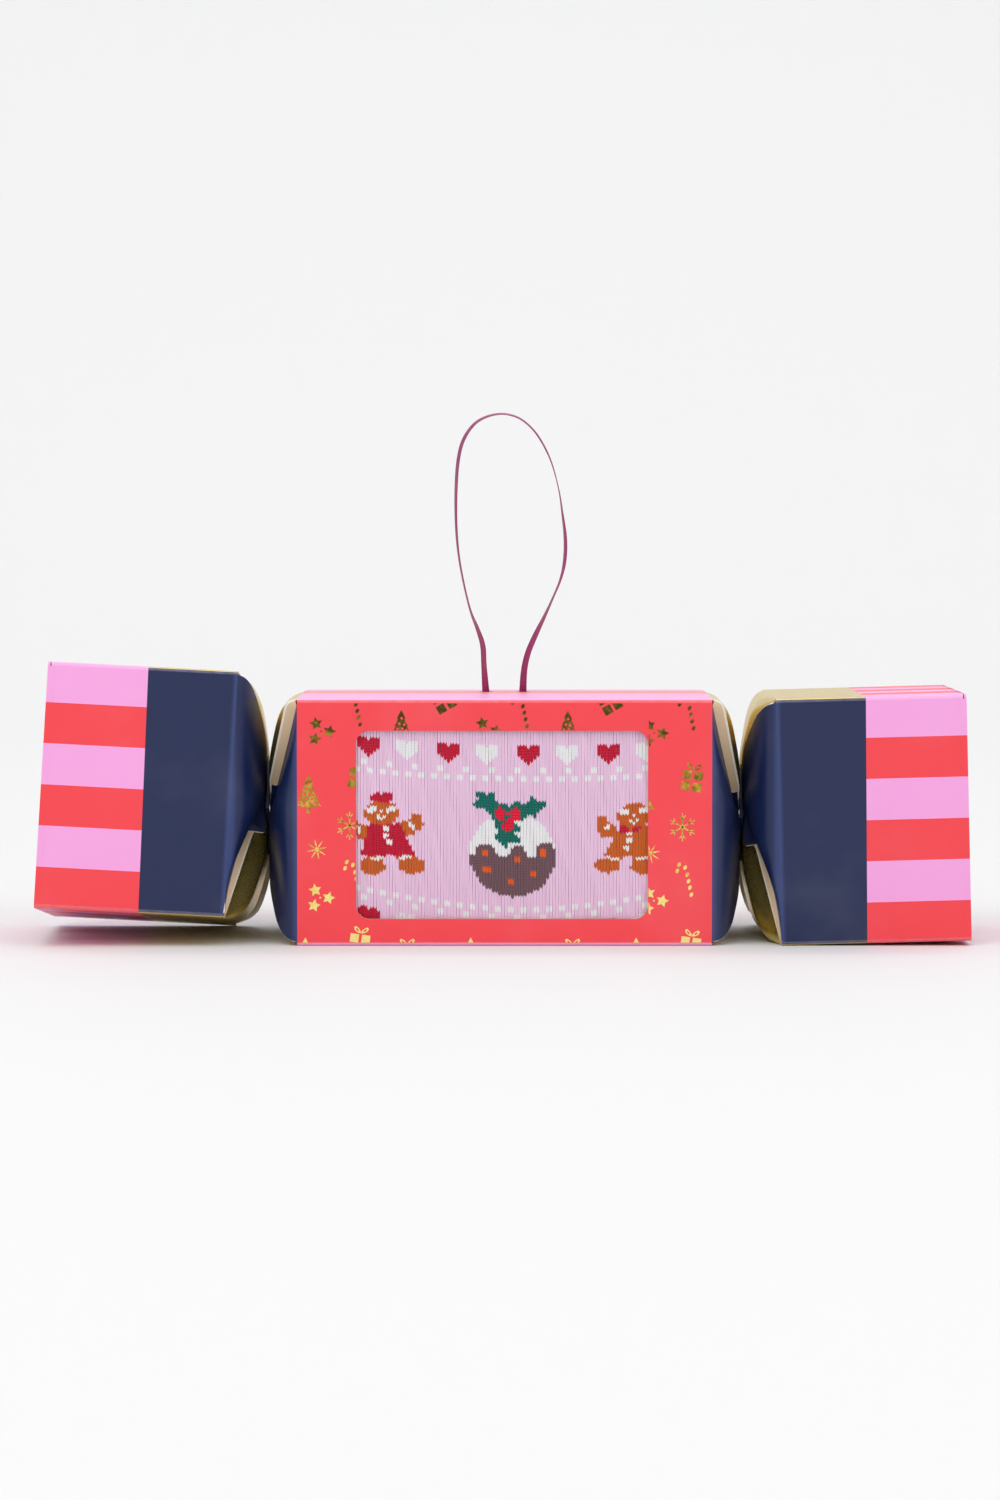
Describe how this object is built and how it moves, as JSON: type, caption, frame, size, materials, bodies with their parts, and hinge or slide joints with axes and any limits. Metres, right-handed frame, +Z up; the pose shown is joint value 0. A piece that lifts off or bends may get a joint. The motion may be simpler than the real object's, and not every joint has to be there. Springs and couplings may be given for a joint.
{
  "type": "gift cracker box",
  "caption": "Folded card cracker box with a window over knitted socks, twisted necks, striped end boxes with tuck lids, and a ribbon hanging loop.",
  "frame": {"origin": "middle of the middle box's bottom face, on the surface it stands on", "axes": "+X along the cracker to the right end, +Z up, -Y out of the window"},
  "size_m": [0.2466, 0.0722, 0.142],
  "materials": {
    "printed_card": "coral print with gold foil, satin",
    "striped_card": "pink and coral stripes beside a navy band, satin",
    "navy_card": "navy print, satin",
    "gold_card": "gold metallic print, glossy",
    "inner_board": "uncoated board, matt",
    "satin_ribbon": "plum satin",
    "knit": "knitted, with a winter pattern"
  },
  "bodies": {
    "root": {"centre_front_panel": "printed_card", "centre_top_panel": "printed_card", "centre_back_panel": "printed_card", "centre_bottom_panel": "printed_card", "centre_seam_flap": "inner_board", "left_neck_inner_web_front": "navy_card", "left_neck_inner_web_top": "gold_card", "left_neck_inner_web_back": "navy_card", "left_neck_inner_web_bottom": "gold_card", "right_neck_inner_web_front": "navy_card", "right_neck_inner_web_top": "gold_card", "right_neck_inner_web_back": "navy_card", "right_neck_inner_web_bottom": "gold_card", "ribbon_knot": "satin_ribbon", "sock_front": "knit", "sock_back": "knit", "card_insert": "inner_board"},
    "hanger": {"ribbon_loop": "satin_ribbon"},
    "left_waist": {"left_neck_waist": "navy_card"},
    "left_cap": {"left_cap_front_panel": "striped_card", "left_cap_top_panel": "striped_card", "left_cap_back_panel": "striped_card", "left_cap_bottom_panel": "striped_card", "left_cap_seam_flap": "inner_board", "left_neck_outer_web_front": "navy_card", "left_neck_outer_web_top": "gold_card", "left_neck_outer_web_back": "navy_card", "left_neck_outer_web_bottom": "gold_card"},
    "left_lid": {"left_end_lid": "striped_card"},
    "left_tongue": {"left_tuck_tongue": "inner_board"},
    "left_dust_front": {"left_dust_flap_front": "inner_board"},
    "left_dust_back": {"left_dust_flap_back": "inner_board"},
    "right_waist": {"right_neck_waist": "navy_card"},
    "right_cap": {"right_cap_front_panel": "striped_card", "right_cap_top_panel": "striped_card", "right_cap_back_panel": "striped_card", "right_cap_bottom_panel": "striped_card", "right_cap_seam_flap": "inner_board", "right_neck_outer_web_front": "navy_card", "right_neck_outer_web_top": "gold_card", "right_neck_outer_web_back": "navy_card", "right_neck_outer_web_bottom": "gold_card"},
    "right_lid": {"right_end_lid": "striped_card"},
    "right_tongue": {"right_tuck_tongue": "inner_board"},
    "right_dust_front": {"right_dust_flap_front": "inner_board"},
    "right_dust_back": {"right_dust_flap_back": "inner_board"}
  },
  "joints": [
    {"name": "left_neck_turn", "type": "hinge", "parent": "root", "child": "left_cap", "pos_m": [-0.06325, 0, 0.03427], "axis": [1, 0, 0], "range_deg": [-90, 6], "deforming": ["left_neck_inner_web_front", "left_neck_inner_web_top", "left_neck_inner_web_back", "left_neck_inner_web_bottom", "left_neck_outer_web_front", "left_neck_outer_web_top", "left_neck_outer_web_back", "left_neck_outer_web_bottom"]},
    {"name": "left_waist_turn", "type": "hinge", "parent": "root", "child": "left_waist", "pos_m": [-0.06325, 0, 0.03427], "axis": [1, 0, 0], "range_deg": [-45, 3]},
    {"name": "left_lid_open", "type": "hinge", "parent": "left_cap", "child": "left_lid", "pos_m": [-0.11949, 0.00396, 0.07082], "axis": [-0.0064, 0.9925, -0.1217], "range_deg": [0, 130]},
    {"name": "left_tongue_fold", "type": "hinge", "parent": "left_lid", "child": "left_tongue", "pos_m": [-0.12267, -0.00385, 0.00728], "axis": [-0.0064, 0.9925, -0.1217], "range_deg": [0, 35]},
    {"name": "left_dust_front_open", "type": "hinge", "parent": "left_cap", "child": "left_dust_front", "pos_m": [-0.12083, -0.03166, 0.04248], "axis": [0.0519, 0.1219, 0.9912], "range_deg": [0, 65.5]},
    {"name": "left_dust_back_open", "type": "hinge", "parent": "left_cap", "child": "left_dust_back", "pos_m": [-0.12124, 0.03166, 0.03472], "axis": [-0.0519, -0.1219, -0.9912], "range_deg": [0, 65.5]},
    {"name": "right_neck_turn", "type": "hinge", "parent": "root", "child": "right_cap", "pos_m": [0.06325, 0, 0.03249], "axis": [1, 0, 0], "range_deg": [-90, 6], "deforming": ["right_neck_inner_web_front", "right_neck_inner_web_top", "right_neck_inner_web_back", "right_neck_inner_web_bottom", "right_neck_outer_web_front", "right_neck_outer_web_top", "right_neck_outer_web_back", "right_neck_outer_web_bottom"]},
    {"name": "right_waist_turn", "type": "hinge", "parent": "root", "child": "right_waist", "pos_m": [0.06325, 0, 0.03249], "axis": [1, 0, 0], "range_deg": [-45, 3]},
    {"name": "right_lid_open", "type": "hinge", "parent": "right_cap", "child": "right_lid", "pos_m": [0.12038, 0, 0.06627], "axis": [0, -1, 0], "range_deg": [0, 130]},
    {"name": "right_tongue_fold", "type": "hinge", "parent": "right_lid", "child": "right_tongue", "pos_m": [0.12191, 0, 0.00218], "axis": [0, -1, 0], "range_deg": [0, 35]},
    {"name": "right_dust_front_open", "type": "hinge", "parent": "right_cap", "child": "right_dust_front", "pos_m": [0.12108, -0.0319, 0.03377], "axis": [0.0262, 0, -0.9997], "range_deg": [0, 65.5]},
    {"name": "right_dust_back_open", "type": "hinge", "parent": "right_cap", "child": "right_dust_back", "pos_m": [0.12108, 0.0319, 0.03377], "axis": [-0.0262, 0, 0.9997], "range_deg": [0, 65.5]},
    {"name": "ribbon_swing", "type": "hinge", "parent": "root", "child": "hanger", "pos_m": [0, 0.017, 0.065], "axis": [1, 0, 0], "range_deg": [-80, 80], "stiffness_Nm_per_rad": 0.0006, "deforming": ["ribbon_loop"]}
  ],
  "couplings": [
    {"joint": "left_waist_turn", "follows": "left_neck_turn", "ratio": 0.5},
    {"joint": "left_tongue_fold", "follows": "left_lid_open", "ratio": 0.25},
    {"joint": "left_dust_front_open", "follows": "left_lid_open", "ratio": 0.5},
    {"joint": "left_dust_back_open", "follows": "left_lid_open", "ratio": 0.5},
    {"joint": "right_waist_turn", "follows": "right_neck_turn", "ratio": 0.5},
    {"joint": "right_tongue_fold", "follows": "right_lid_open", "ratio": 0.25},
    {"joint": "right_dust_front_open", "follows": "right_lid_open", "ratio": 0.5},
    {"joint": "right_dust_back_open", "follows": "right_lid_open", "ratio": 0.5}
  ]
}
